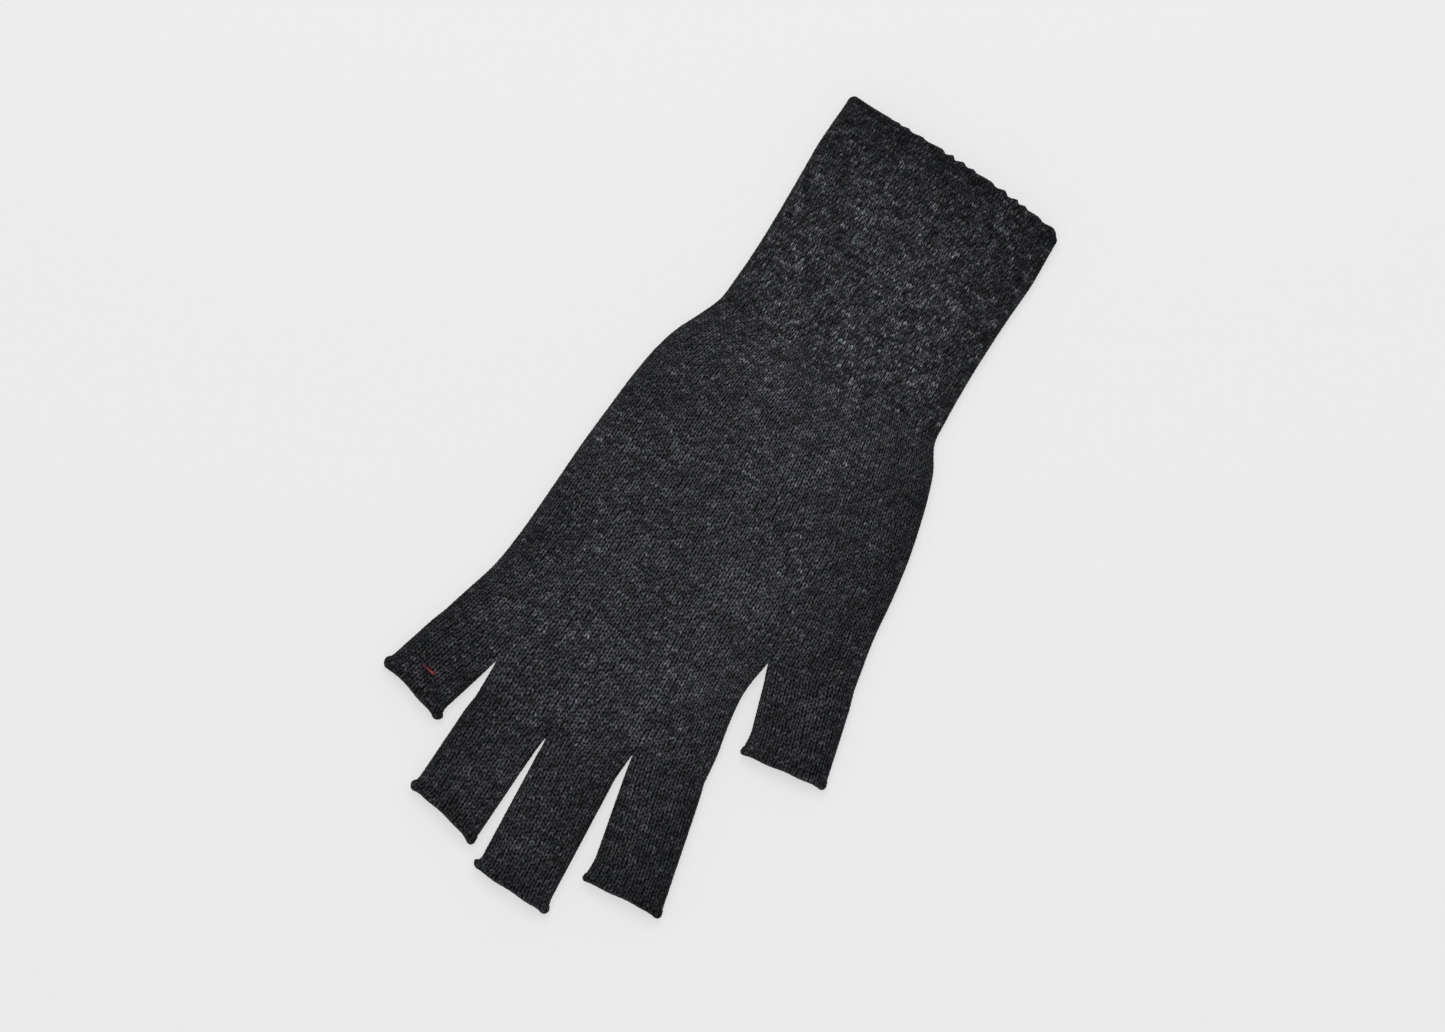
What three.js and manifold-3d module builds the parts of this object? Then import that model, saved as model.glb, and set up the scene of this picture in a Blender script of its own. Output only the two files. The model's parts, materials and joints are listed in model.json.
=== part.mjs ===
// A fine-gauge knitted fingerless glove, laid flat with its palm side up.
// Millimetres. +X runs across the palm to the thumb, -Y to the fingertips and +Z up from the surface
// it lies on. The origin is on that surface, under the middle of the glove.
import * as THREE from "three";
import { mergeVertices } from "three/addons/utils/BufferGeometryUtils.js";
import Module from "manifold-3d";

const wasm = await Module();
wasm.setup();

// Fabric and section
const CLOTH = 1.4; // thickness of the knitted fabric
const HEIGHT = 8; // surface to crown, with air between the two layers
const FINGER_HEIGHT = 7.8;
const FOLD_HEIGHT = 2.8; // height of the side folds' outermost line
const FOLD_REACH = 3; // how far in from a fold the underside is rounded
const SQUARENESS = 4; // superellipse exponent of the crown: 2 is round, more is flatter
const CROWN_STEPS = 12;
const FOLD_STEPS = 3;
const GAP = 0.3; // clearance between neighbouring solids
const CUT_PAST = 1; // how far an inner solid runs past an opening, to keep it open

// Outline of the hand and the cuff, as [y, thumbless side x, thumb side x]
const CUFF_TOP = 135.4;
const WELT = 2.6; // height of the bound-off edge round the cuff
const WELT_BOW = 1.9; // how far the middle of that edge stands above its corners
const WRIST_Y = 58;
const WRIST_BEND = 16; // length of cuff that bends when the wrist does
const CUFF_OUTLINE = [
  [WRIST_Y, -45.3, 38],
  [70, -44.6, 36.4],
  [85, -44.8, 35.5],
  [100, -45.7, 35],
  [118, -46.8, 35.1],
  [CUFF_TOP, -46.6, 33.6],
];
const HAND_OUTLINE = [
  [WRIST_Y, -45.3, 38],
  [52, -47.2, 41.6],
  [45, -50.3, 44.6],
  [37, -52.8, 47.2],
  [25, -54.4, 50.6],
  [10, -55.2, 53.8],
  [-8, -56, 57],
  [-24, -56.1, 61.6],
];
const PALM_OUTLINE = [
  [-20, -56.1, 32.3],
  [-45, -56.8, 32.2],
  [-55, -58, 33.9],
  [-65, -60.2, 36.3],
  [-78, -62.4, 39],
];
const PAIR_OUTLINE = [
  [-72, -39.3, 12],
  [-93, -39.3, 13],
];
const OUTLINE_STEPS = 14;
const STATION_GAP = 1; // least distance between a cut's own station and the outline's next one

// Finger sleeves: x and y are the middle of the root line, lean is the angle from -Y towards the thumb,
// and skew is how much longer the thumb side of the hem is than the other side.
const FINGERS = [
  { name: "thumb", x: 47, y: -26.8, lean: 18, root: 29.4, tip: 27.4, length: 31.1, skew: 3.8 },
  { name: "index", x: 25.5, y: -77.2, lean: 15, root: 25.2, tip: 25.8, length: 43.6, skew: 3.6 },
  { name: "middle", x: 0.4, y: -90, lean: 5.8, root: 25.6, tip: 25.8, length: 47.2, skew: 2.6 },
  { name: "ring", x: -26.2, y: -91.2, lean: 0, root: 25.8, tip: 25.8, length: 38, skew: 4.4 },
  { name: "little", x: -51.2, y: -76.4, lean: -13.8, root: 23.5, tip: 23.8, length: 26, skew: 0 },
];
const ROOT_BEND = 12; // length of each sleeve that bends when its finger does
const ROOT_OVERLAP = 16; // how far a sleeve's fabric runs back into the palm
const ROOT_SPARE = 1; // how far it runs past its root line before it is trimmed there
const SPACE_REACH = 60; // how far past its root line a finger's own space goes
const SPACE_SPARE = 1.2; // how much wider than the finger's root that space is
const SPACE_HEIGHT = 4 * HEIGHT; // half of it below the surface, half above
const HEM = 2.8; // length of the rolled hem
const HEM_PROUD = 0.6; // how far the roll stands out of the sleeve on top
const HEM_FLARES = [0.3, 1.1, 0.5]; // how far it stands out at the folds: at its start, middle and end

// Yarn: x, y and heading (degrees from +Y towards the thumb) place the knot of each end left inside
const YARN_RADIUS = 0.5;
const KNOT_RADIUS = 1.1;
const TAIL_LENGTH = 12;
const TAIL_SEGMENTS = { steps: 8, curveSegments: 4 };
const KNOT_SEGMENTS = [10, 8]; // round it, and from pole to pole
// Along a tail: the share of its length, and how far aside it lies there.
const TAIL_WAVES = [[0.3, 0.5], [0.65, -0.4], [1, 0.6]];
const TAILS = [
  { name: "thumb_index_tail", x: 27.5, y: -25, heading: -12 },
  { name: "index_middle_tail", x: 12.5, y: -75, heading: -8 },
  { name: "middle_ring_tail", x: -12.8, y: -85, heading: 6 },
  { name: "ring_little_tail", x: -39.2, y: -74.5, heading: 10 },
];
const MARKER_LENGTH = 5; // coloured stitch on the little finger, lying across the glove
const MARKER_RADIUS = 0.35;
const MARKER_SEGMENTS = [3, 8]; // along an end cap, and round the stitch
const MARKER_ALONG = 17.3; // from the finger's root line
const MARKER_ASIDE = -1.2; // from the finger's middle line, towards the thumb
const WELD = 1e-4; // points closer than this are one

const wool = new THREE.MeshStandardMaterial({ color: 0x2d2d2f, roughness: 0.95, metalness: 0 });
const woolEdge = new THREE.MeshStandardMaterial({ color: 0x29292b, roughness: 0.95, metalness: 0 });
const redThread = new THREE.MeshStandardMaterial({ color: 0x8c2328, roughness: 0.8, metalness: 0 });

const glove = new THREE.Group();
const radians = THREE.MathUtils.degToRad;

function add(name, geometry, material) {
  const mesh = new THREE.Mesh(geometry, material);
  mesh.name = name;
  glove.add(mesh);
}

// ---- Sections, rings and lofts ----

// Cross-section of a sleeve, as [across, up] points: over the crown, then back along the flat underside.
function section(halfWidth, inset) {
  const floor = inset;
  const crown = HEIGHT - inset;
  const fold = THREE.MathUtils.clamp(FOLD_HEIGHT, floor, crown);
  const points = [];
  for (let i = 0; i <= CROWN_STEPS; i++) {
    const turn = (Math.PI * i) / CROWN_STEPS;
    const across = Math.sign(Math.cos(turn)) * Math.abs(Math.cos(turn)) ** (2 / SQUARENESS);
    points.push([halfWidth * across, fold + (crown - fold) * Math.sin(turn)]);
  }
  for (const side of [-1, 1]) {
    for (let i = 1; i <= FOLD_STEPS; i++) {
      const step = side < 0 ? i : FOLD_STEPS - i + 1;
      const turn = ((Math.PI / 2) * step) / FOLD_STEPS;
      const across = halfWidth - FOLD_REACH * (1 - Math.cos(turn));
      points.push([side * across, fold - (fold - floor) * Math.sin(turn)]);
    }
  }
  return points;
}

// One ring of a sleeve: along is the distance down the sleeve's own line from its root. skew lets its thumb
// side run further than the other, and bow holds its middle back.
function ring(line, along, halfWidth, { inset = 0, height = HEIGHT, skew = 0, bow = 0 } = {}) {
  const lean = radians(line.lean);
  const width = halfWidth - inset;
  const rise = (height - 2 * inset) / (HEIGHT - 2 * inset);
  return section(width, inset).map(([across, up]) => {
    const share = across / halfWidth;
    const down = along + (skew * share) / 2 - bow * (1 - share * share);
    return new THREE.Vector3(
      line.x + across * Math.cos(lean) + down * Math.sin(lean),
      line.y + across * Math.sin(lean) - down * Math.cos(lean),
      inset + (up - inset) * rise,
    );
  });
}

// A ring that lies level across the glove, from the x left to the x right.
function levelRing(y, left, right, options) {
  return ring({ x: (left + right) / 2, y: 0, lean: 0 }, -y, (right - left) / 2, options);
}

function bandFaces(faces, from, to, count) {
  for (let i = 0; i < count; i++) {
    const next = (i + 1) % count;
    faces.push(from + i, to + next, to + i, from + i, from + next, to + next);
  }
}

function geometryOf(rings, faces) {
  const geometry = new THREE.BufferGeometry().setFromPoints(rings.flat());
  geometry.setIndex(faces);
  geometry.computeVertexNormals();
  return geometry;
}

// A solid through rings, closed by a fan at each end.
function loft(rings) {
  const count = rings[0].length;
  const last = (rings.length - 1) * count;
  const faces = [];
  for (let i = 0; i + 1 < rings.length; i++) bandFaces(faces, i * count, (i + 1) * count, count);
  for (let i = 1; i + 1 < count; i++) faces.push(0, i + 1, i, last, last + i, last + i + 1);
  return geometryOf(rings, faces);
}

// A tube with a wall: down its outer rings and back up its inner ones.
function sleeve(outer, inner) {
  const rings = [...outer, ...inner.toReversed()];
  const count = outer[0].length;
  const faces = [];
  rings.forEach((_, i) => bandFaces(faces, i * count, ((i + 1) % rings.length) * count, count));
  return geometryOf(rings, faces);
}

// ---- Solids for joining and cutting ----

function solid(geometry) {
  const bare = geometry.clone();
  bare.deleteAttribute("normal");
  bare.deleteAttribute("uv");
  const merged = mergeVertices(bare, WELD);
  return new wasm.Manifold(
    new wasm.Mesh({
      numProp: 3,
      vertProperties: merged.attributes.position.array,
      triVerts: new Uint32Array(merged.index.array),
    }),
  );
}

function geometryFrom(made) {
  const { vertProperties, triVerts } = made.getMesh();
  const geometry = new THREE.BufferGeometry();
  geometry.setAttribute("position", new THREE.BufferAttribute(vertProperties, 3));
  geometry.setIndex(new THREE.BufferAttribute(triVerts, 1));
  geometry.computeVertexNormals();
  return geometry;
}

const union = (solids) => solids.reduce((whole, piece) => whole.add(piece));

// ---- Hand and cuff ----

// Rings of an upright stretch, from an outline of [y, left x, right x] smoothed between its points.
function outlineRings(outline, options) {
  const points = outline.map(([y, left, right]) => new THREE.Vector3(left, y, right));
  const stations = new THREE.CatmullRomCurve3(points).getPoints(OUTLINE_STEPS);
  return stations.map(({ x: left, y, z: right }) => levelRing(y, left, right, options));
}

// The outline between two heights, with stations at both ends.
function outlineBetween(outline, low, high) {
  const at = (y) => {
    const i = Math.max(1, outline.findIndex(([stationY]) => stationY >= y));
    const [[y0, left0, right0], [y1, left1, right1]] = [outline[i - 1], outline[i]];
    const share = (y - y0) / (y1 - y0);
    return [y, THREE.MathUtils.lerp(left0, left1, share), THREE.MathUtils.lerp(right0, right1, share)];
  };
  const between = outline.filter(([y]) => y > low + STATION_GAP && y < high - STATION_GAP);
  return [at(high), ...between.toReversed(), at(low)];
}

// A stretch of the cuff. Its stations bow upwards from the wrist to the bound-off edge.
function cuffSleeve(low, high) {
  const outline = outlineBetween(CUFF_OUTLINE, low, high);
  const rings = (inset) =>
    outline.map(([y, left, right]) => {
      const bow = (WELT_BOW * (y - WRIST_Y)) / (CUFF_TOP - WRIST_Y);
      return levelRing(y, left, right, { inset, bow });
    });
  return sleeve(rings(0), rings(CLOTH));
}

// Rings of a finger's sleeve at [distance from its root line, how far the ring stands out at the folds].
// The hem's skew comes in by degrees.
function fingerRings(finger, stations, options = {}) {
  return stations.map(([along, proud = 0]) => {
    const share = THREE.MathUtils.clamp(along / finger.length, 0, 1);
    const width = THREE.MathUtils.lerp(finger.root, finger.tip, share);
    const height = FINGER_HEIGHT + (proud ? HEM_PROUD : 0);
    return ring(finger, along, width / 2 + proud, { height, skew: finger.skew * share, ...options });
  });
}

// Everything past a finger's root line, which belongs to the finger and not to the palm.
function fingerSpace(finger) {
  const box = new THREE.BoxGeometry(finger.root + SPACE_SPARE, SPACE_REACH, SPACE_HEIGHT);
  box.translate(0, -SPACE_REACH / 2, 0);
  box.rotateZ(radians(finger.lean));
  box.translate(finger.x, finger.y, 0);
  return solid(box);
}

// The palm's sleeve: outer solids less inner ones, trimmed at the fingers' root lines.
function palm() {
  const layer = (inset, past) => {
    const options = { inset };
    const outlines = [HAND_OUTLINE, PALM_OUTLINE, PAIR_OUTLINE];
    const shapes = outlines.map((outline) => outlineRings(outline, options));
    if (past) {
      const [[, left, right]] = HAND_OUTLINE;
      shapes[0].unshift(levelRing(WRIST_Y + past, left, right, options));
    }
    const roots = FINGERS.map((finger) =>
      fingerRings(finger, [[-ROOT_OVERLAP - past], [ROOT_SPARE + past]], { ...options, skew: 0 }),
    );
    return union([...shapes, ...roots].map((rings) => solid(loft(rings))));
  };
  const shell = layer(0, 0).subtract(layer(CLOTH, CUT_PAST));
  return FINGERS.reduce((rest, finger) => rest.subtract(fingerSpace(finger)), shell);
}

add("palm_sleeve", geometryFrom(palm()), wool);
add("wrist_bend", cuffSleeve(WRIST_Y + GAP, WRIST_Y + WRIST_BEND - GAP), wool);
add("cuff_sleeve", cuffSleeve(WRIST_Y + WRIST_BEND, CUFF_TOP - WELT - GAP), wool);
add("cuff_welt", cuffSleeve(CUFF_TOP - WELT, CUFF_TOP), woolEdge);

// ---- Fingers ----

for (const finger of FINGERS) {
  const tube = (stations) => {
    const inside = stations.map(([along]) => [along]);
    return sleeve(fingerRings(finger, stations), fingerRings(finger, inside, { inset: CLOTH }));
  };
  const hemStart = finger.length - HEM;
  const roll = HEM_FLARES.map((flare, i) => [hemStart + (HEM * i) / 2, flare]);
  add(`${finger.name}_root`, tube([[GAP], [ROOT_BEND - GAP]]), wool);
  add(`${finger.name}_sleeve`, tube([[ROOT_BEND], [hemStart - GAP]]), wool);
  add(`${finger.name}_hem`, tube(roll), woolEdge);
}

// ---- Yarn ends and the marker stitch ----

// A knot with a short end of yarn lying on the inside of the lower layer.
function yarnEnd(tail) {
  const knotHeight = CLOTH + GAP + KNOT_RADIUS;
  const yarnHeight = CLOTH + GAP + YARN_RADIUS;
  const heading = radians(tail.heading);
  const at = (distance, aside, height) =>
    new THREE.Vector3(
      tail.x + distance * Math.sin(heading) + aside * Math.cos(heading),
      tail.y + distance * Math.cos(heading) - aside * Math.sin(heading),
      height,
    );
  const path = new THREE.CatmullRomCurve3([
    at(0, 0, knotHeight),
    ...TAIL_WAVES.map(([share, aside]) => at(TAIL_LENGTH * share, aside, yarnHeight)),
  ]);
  const strand = new THREE.Shape().absarc(0, 0, YARN_RADIUS, 0, 2 * Math.PI);
  const end = new THREE.ExtrudeGeometry(strand, { ...TAIL_SEGMENTS, extrudePath: path });
  const knot = new THREE.SphereGeometry(KNOT_RADIUS, ...KNOT_SEGMENTS).translate(tail.x, tail.y, knotHeight);
  return geometryFrom(solid(end).add(solid(knot)));
}

// The marker lies on top of the little finger's sleeve, straight across the glove.
function marker() {
  const little = FINGERS.find((finger) => finger.name === "little");
  const lean = radians(little.lean);
  const straight = MARKER_LENGTH - 2 * MARKER_RADIUS;
  const stitch = new THREE.CapsuleGeometry(MARKER_RADIUS, straight, ...MARKER_SEGMENTS);
  return stitch.rotateZ(Math.PI / 2).translate(
    little.x + MARKER_ASIDE * Math.cos(lean) + MARKER_ALONG * Math.sin(lean),
    little.y + MARKER_ASIDE * Math.sin(lean) - MARKER_ALONG * Math.cos(lean),
    FINGER_HEIGHT + GAP + MARKER_RADIUS,
  );
}

for (const tail of TAILS) add(tail.name, yarnEnd(tail), wool);
add("marker_stitch", marker(), redThread);

export default glove;
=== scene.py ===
"""Looks of the knitted fingerless glove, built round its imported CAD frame.

The glove is worked out in millimetres, as courses (rows) and wales (columns) of stitches on tubes that
branch at the crotches, and every mesh is written in metres.
"""
import json
import math
from collections import namedtuple
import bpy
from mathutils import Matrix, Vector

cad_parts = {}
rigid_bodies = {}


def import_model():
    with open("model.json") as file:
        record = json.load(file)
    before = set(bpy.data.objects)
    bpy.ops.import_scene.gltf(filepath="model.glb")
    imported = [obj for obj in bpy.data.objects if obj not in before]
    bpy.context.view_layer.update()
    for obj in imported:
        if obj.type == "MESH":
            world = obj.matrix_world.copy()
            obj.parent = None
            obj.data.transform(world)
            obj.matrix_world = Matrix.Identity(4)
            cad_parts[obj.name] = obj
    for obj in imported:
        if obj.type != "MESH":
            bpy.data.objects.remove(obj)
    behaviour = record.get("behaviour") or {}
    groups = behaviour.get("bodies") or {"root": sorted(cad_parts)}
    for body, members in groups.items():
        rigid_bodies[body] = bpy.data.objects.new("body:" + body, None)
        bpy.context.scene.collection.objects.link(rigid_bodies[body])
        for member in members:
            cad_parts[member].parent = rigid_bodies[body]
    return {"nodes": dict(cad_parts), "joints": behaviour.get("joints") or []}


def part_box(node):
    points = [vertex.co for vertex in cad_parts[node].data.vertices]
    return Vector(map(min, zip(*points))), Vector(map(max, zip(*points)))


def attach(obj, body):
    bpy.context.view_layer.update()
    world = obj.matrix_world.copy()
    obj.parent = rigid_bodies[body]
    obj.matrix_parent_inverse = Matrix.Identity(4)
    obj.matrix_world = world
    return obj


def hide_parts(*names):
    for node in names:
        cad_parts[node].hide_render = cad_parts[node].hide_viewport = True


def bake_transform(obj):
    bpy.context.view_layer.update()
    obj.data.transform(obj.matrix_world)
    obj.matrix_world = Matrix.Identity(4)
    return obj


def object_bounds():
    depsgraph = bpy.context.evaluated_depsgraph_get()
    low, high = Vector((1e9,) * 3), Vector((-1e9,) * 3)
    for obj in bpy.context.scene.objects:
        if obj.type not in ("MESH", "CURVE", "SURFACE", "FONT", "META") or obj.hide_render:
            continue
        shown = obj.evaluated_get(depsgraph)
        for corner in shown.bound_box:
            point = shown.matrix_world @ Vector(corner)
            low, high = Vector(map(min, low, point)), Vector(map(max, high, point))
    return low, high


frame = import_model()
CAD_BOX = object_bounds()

from types import SimpleNamespace

import bpy
import numpy as np
from mathutils import Vector
from mathutils.kdtree import KDTree

MM = 0.001

# Fabric
COURSE = 1.33  # from one row of stitches to the next
CLOTH = 1.4
RELIEF = 0.6  # depth of the grooves between the stitches
TIGHT_RELIEF, TIGHT_REACH = 0.35, 3.5  # the share of it left on a fold, and how far in it is whole again
STITCH_LEVEL = 0.92  # the part of a stitch's height that lies below the surface it is knitted on
SIDE = 2  # wales that turn round each fold
TOP_STEPS, UNDER_STEPS, ROW_STEPS = ((8, 4, 5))  # mesh steps per stitch

# Section
FOLD = 2.8  # height of a side fold's outermost line
CROWN = 7.35
TOP_REACH = 8.0  # how far in from a fold the upper layer is rounded
UNDER_REACH = 3.0
WEB = 2.0  # half the height of the fabric that joins the two layers at a crotch
OPENING_ROWS = 6.0  # rows in which a crotch's upright web becomes a rounded fold
DIP = 3.4  # how far round it a crotch pulls the layers together
PULL_REACH = 3.0  # length over which a sleeve's edge leaves its crotch for its own line
CREASE, CREASE_DEPTH, CREASE_WIDTH = 13.0, 0.7, 0.8  # of the crease that runs up from a crotch
CREASE_START = 2.0  # length over which it comes in
FLOOR_GAP = 0.05
LOWEST = 0.02  # no stitch goes below this
UNDER_WAVES = 0.1  # how much the lower layer leaves the floor
WAVES = [  # wavelength, heading, phase and height of the soft waves in the upper layer
    (61, 0.4, 0.3, 0.16), (43, 1.5, 1.9, 0.14), (34, 2.3, 4.0, 0.1), (26, 0.9, 2.2, 0.07), (19, 2.9, 5.1, 0.05),
]

# Stitch counts
LITTLE, RING, MIDDLE, INDEX, THUMB = 11, 12, 12, 12, 14  # wales on top of each sleeve
PALM = LITTLE + RING + MIDDLE + INDEX
HAND = PALM + THUMB
CUFF_ROWS, HAND_ROWS, PALM_ROWS, PAIR_ROWS = 56, 67, 36, 8
PALM_START = HAND_ROWS
PAIR_START = PALM_START + PALM_ROWS
PAIR_END = PAIR_START + PAIR_ROWS
CROTCH_ROWS = {
    "little_ring": PAIR_START, "ring_middle": PAIR_END, "middle_index": PAIR_START, "index_thumb": PALM_START,
}

# Levels of y at which the sides follow the CAD's outline
CUFF_LEVELS, CUFF_INSET = [130, 118, 105, 92, 80], 0.4
HAND_LEVELS, HAND_INSET = [50, 42, 34, 24, 10, -5], 0.05  # an inset is that of the first level from its end
LEFT_LEVEL = -18  # one more on the left, beside the thumb
PALM_LEVELS = [-42, -54, -65]

# Edges
ROOT_BEND = 12.0  # the stretch of each finger that bends, centred on its hinge
WRIST_BEND = 16.0
HEM = 2.8
HEM_SWELL, WELT_SWELL = 0.3, 0.1  # how far a hem's or the welt's soft roll stands out
SWELL_ROWS = 5  # rows in which a sleeve's lower layer rises to its hem
EASE = 7.0  # length over which a sleeve's fold leaves the CAD's
FLARE_POWER = 1.6  # how late a fold flares out to its corner
HAND_FULLNESS = (0.35, 0.8)  # how far the hand's left and right folds swell out beyond the CAD's, in its middle
CUFF_BOW = 1.9  # how far the middle of the cuff's edge stands out beyond its corners
WELT_SLANT = 0.65  # slope of its edge in the middle, by which its thumb half stands out further
SCALLOP, SCALLOP_WALES = 0.95, 3.7  # depth of the welt's scallops and the width of one
SCALLOP_RISE = 0.65  # the share of a scallop in which its edge rises

# The corners of the open ends, left and right. side is how far the fold that leads to a corner lies outside the
# CAD's, out how much further the corner stands and back how long before it that starts, forward how far it
# stands ahead of the edge and width how wide that is, and radius is its rounding.
Corner = namedtuple("Corner", "side out back forward width radius")
CUFF_CORNERS = (Corner(0.3, 0, 1, 0.6, 5.0, 1.5), Corner(0.35, 0.2, 9.0, 0.3, 5.0, 2.3))
HEM_CORNERS = {
    "little": (Corner(0.35, 0.7, 4.5, 1.35, 4.2, 2.0), Corner(0.1, 1.7, 4.8, 1.05, 2.6, 1.9)),
    "ring": (Corner(0.45, 1.2, 4.4, 1.1, 2.6, 1.6), Corner(0.05, 0.1, 3.0, 1.3, 3.4, 1.2)),
    "middle": (Corner(0.4, 1.8, 4.2, 0.2, 2.2, 1.3), Corner(0.0, 1.1, 5.4, 0.9, 2.4, 1.4)),
    "index": (Corner(0.0, 1.9, 9.0, 0.3, 2.0, 0.5), Corner(0.25, 0.1, 4.0, 0.9, 3.2, 1.2)),
    "thumb": (Corner(-0.4, 1.9, 8.5, 0.4, 2.0, 0.4), Corner(0.4, 0.0, 4.0, 0.8, 3.2, 1.1)),
}
HEM_BOW = {"little": 0.0, "ring": -0.4, "middle": 0.3, "index": -0.2, "thumb": 0.1}
HEM_LEAN = 0.2  # how far a hem's bow leans towards the thumb side
HEM_RIPPLE = 0.16

# Painted shade in the wool's colour: darker at the outline, dying out inwards, and along headings in plan
RIM_PAINTED_SHADE, RIM_REACH = 0.4, 14.0
PAINTED_SHADE_FADES = [  # painted shade: by what share, and where it comes in: heading (x, y), how far along it and over what length
    (0.2, [((0, -1), 72, 34)]),  # the fingers
    (0.25, [((1, 0), 12, 34)]),  # the thumb
    (0.2, [((-1, 0), 40, 10), ((0, -1), 62, 16)]),  # the little finger
    (-0.07, [((0, 1), 20, 30)]),  # painted light: a little lighter from the wrist on
    (0.3, [((0, 1), 94, 38)]),  # the cuff's end
]


# ---- What the CAD frame says ----

def node_points(name):
    mesh = frame["nodes"][name].data
    points = np.empty(len(mesh.vertices) * 3)
    mesh.vertices.foreach_get("co", points)
    return points.reshape(-1, 3) / MM


def node_corners(name):
    """The low and high corner of a CAD node's box, in mm."""
    return [np.array(corner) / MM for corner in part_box(name)]


def slice_ends(name, y):
    """Lowest and highest x where the level line at y crosses a CAD node."""
    mesh, points = frame["nodes"][name].data, node_points(name)
    edges = np.empty(len(mesh.edges) * 2, int)
    mesh.edges.foreach_get("vertices", edges)
    a, b = points[edges.reshape(-1, 2)].transpose(1, 0, 2)
    crossing = (a[:, 1] - y) * (b[:, 1] - y) < 0
    a, b = a[crossing], b[crossing]
    x = a[:, 0] + (y - a[:, 1]) / (b[:, 1] - a[:, 1]) * (b[:, 0] - a[:, 0])
    return x.min(), x.max()


def joint_called(name):
    return next(joint for joint in frame["joints"] if joint["name"] == name)


def finger_frame(name):
    """A finger's root line, direction, width and length, from its joint and its CAD nodes."""
    joint = joint_called(name + "_curl")
    across = -np.array(joint["axis"][:2], float)
    across /= np.linalg.norm(across)
    along = np.array([across[1], -across[0]])
    centre = np.array(joint["pos_m"][:2]) / MM - along * ROOT_BEND / 2

    def measured(part):
        flat = node_points(f"{name}_{part}")[:, :2] - centre
        return flat @ across, flat @ along

    near = 1.0  # vertices within this of an end belong to it
    aside, down = measured("root")
    root = np.ptp(aside[down < near])
    aside, down = measured("sleeve")
    tip = np.ptp(aside[down > down.max() * 0.6])
    aside, down = measured("hem")
    left_end = down[aside < aside.min() + near].max()
    right_end = down[aside > aside.max() - near].max()
    return SimpleNamespace(
        name=name, across=across, along=along, centre=centre, root=root, tip=tip,
        length=(left_end + right_end) / 2, skew=right_end - left_end,
        left=centre - across * root / 2, right=centre + across * root / 2,
    )


FINGERS = {name: finger_frame(name) for name in ("little", "ring", "middle", "index", "thumb")}
little, ring, middle, index, thumb = FINGERS.values()
CROTCHES = {  # each a little nearer the wrist than the CAD's, where the cloth parts
    "little_ring": little.right + [0, 0.6],
    "ring_middle": (ring.right + middle.left) / 2 + [0, 0.9],
    "middle_index": index.left + [0, 1.2],
    "index_thumb": thumb.left + [0, 0.9],
}
THUMB_LEFT, THUMB_RIGHT = thumb.left[1], thumb.right[1]  # levels of the ends of the thumb's root
WRIST_Y = node_points("palm_sleeve")[:, 1].max()
cuff_points = node_points("cuff_sleeve")
CUFF_TOP = cuff_points[cuff_points[:, 0] < cuff_points[:, 0].min() + 1.0, 1].max()
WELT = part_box("cuff_welt")[1].y / MM - CUFF_BOW - CUFF_TOP


# ---- Rails: the lines that the fabric's wales follow, each a function of rows ----

def smooth(t):
    t = np.clip(t, 0, 1)
    return t * t * (3 - 2 * t)


def through(stations):
    """A smooth line through (row, x, y) stations."""
    stations = np.array(sorted(map(tuple, stations)), float)
    t, p = stations[:, 0], stations[:, 1:]
    slope = np.gradient(p, t, axis=0)

    def at(rows):
        rows = np.asarray(rows, float)
        i = np.clip(np.searchsorted(t, rows, side="right") - 1, 0, len(t) - 2)
        h = (t[i + 1] - t[i])[:, None]
        s = (rows - t[i])[:, None] / h
        return (
            p[i] * (2 * s**3 - 3 * s**2 + 1) + slope[i] * h * (s**3 - 2 * s**2 + s)
            + p[i + 1] * (3 * s**2 - 2 * s**3) + slope[i + 1] * h * (s**3 - s**2)
        )

    return at


def outline(side, levels, ends, rows, node="palm_sleeve"):
    """Stations where a CAD node's outline crosses levels of y, on its left (side 0) or right (side 1).

    ends are two levels and rows the rows at them, and the stations' rows are spread evenly between those.
    """
    (top, bottom), (first, last) = ends, rows
    return [
        (first + (last - first) * (top - y) / (top - bottom), slice_ends(node, y)[side], y) for y in levels
    ]


def cuff_stations(side):
    span = (CUFF_TOP, WRIST_Y), (-CUFF_ROWS, 0)
    cuff = outline(side, [CUFF_TOP - CUFF_INSET, *CUFF_LEVELS], *span, "cuff_sleeve")
    return cuff + outline(side, [WRIST_Y + WRIST_BEND / 2], *span, "wrist_bend")


def beyond_cad(corner, s, ease, length):
    """How far outside the CAD's fold the cloth's lies, s mm along a side that ends in a corner at length."""
    flare = np.clip((s - length) / corner.back + 1, 0, 1) ** FLARE_POWER
    return corner.side * smooth(s / ease) + corner.out * flare


def arm_rail(stations, side, corner, fullness):
    """A side of hand and cuff, eased outwards in the hand's middle and from the wrist to the cuff's corner."""
    cad_rail = through(stations)
    length = CUFF_ROWS * COURSE

    def at(rows):
        rows = np.asarray(rows, float)
        out = beyond_cad(corner, -rows * COURSE, length, length)
        out = out + fullness * np.sin(math.pi * np.clip(rows / HAND_ROWS, 0, 1))
        return cad_rail(rows) + side * out[:, None] * np.array([1.0, 0.0])

    return at


hand_levels = [WRIST_Y - HAND_INSET, *HAND_LEVELS]
hand_left = outline(0, [*hand_levels, LEFT_LEVEL, THUMB_LEFT], (WRIST_Y, THUMB_LEFT), (0, HAND_ROWS))
hand_right = outline(1, hand_levels, (WRIST_Y, THUMB_RIGHT), (0, HAND_ROWS)) + [(HAND_ROWS, *thumb.right)]
arm_left = arm_rail(cuff_stations(0) + hand_left, -1, CUFF_CORNERS[0], HAND_FULLNESS[0])
arm_right = arm_rail(cuff_stations(1) + hand_right, 1, CUFF_CORNERS[1], HAND_FULLNESS[1])


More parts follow.
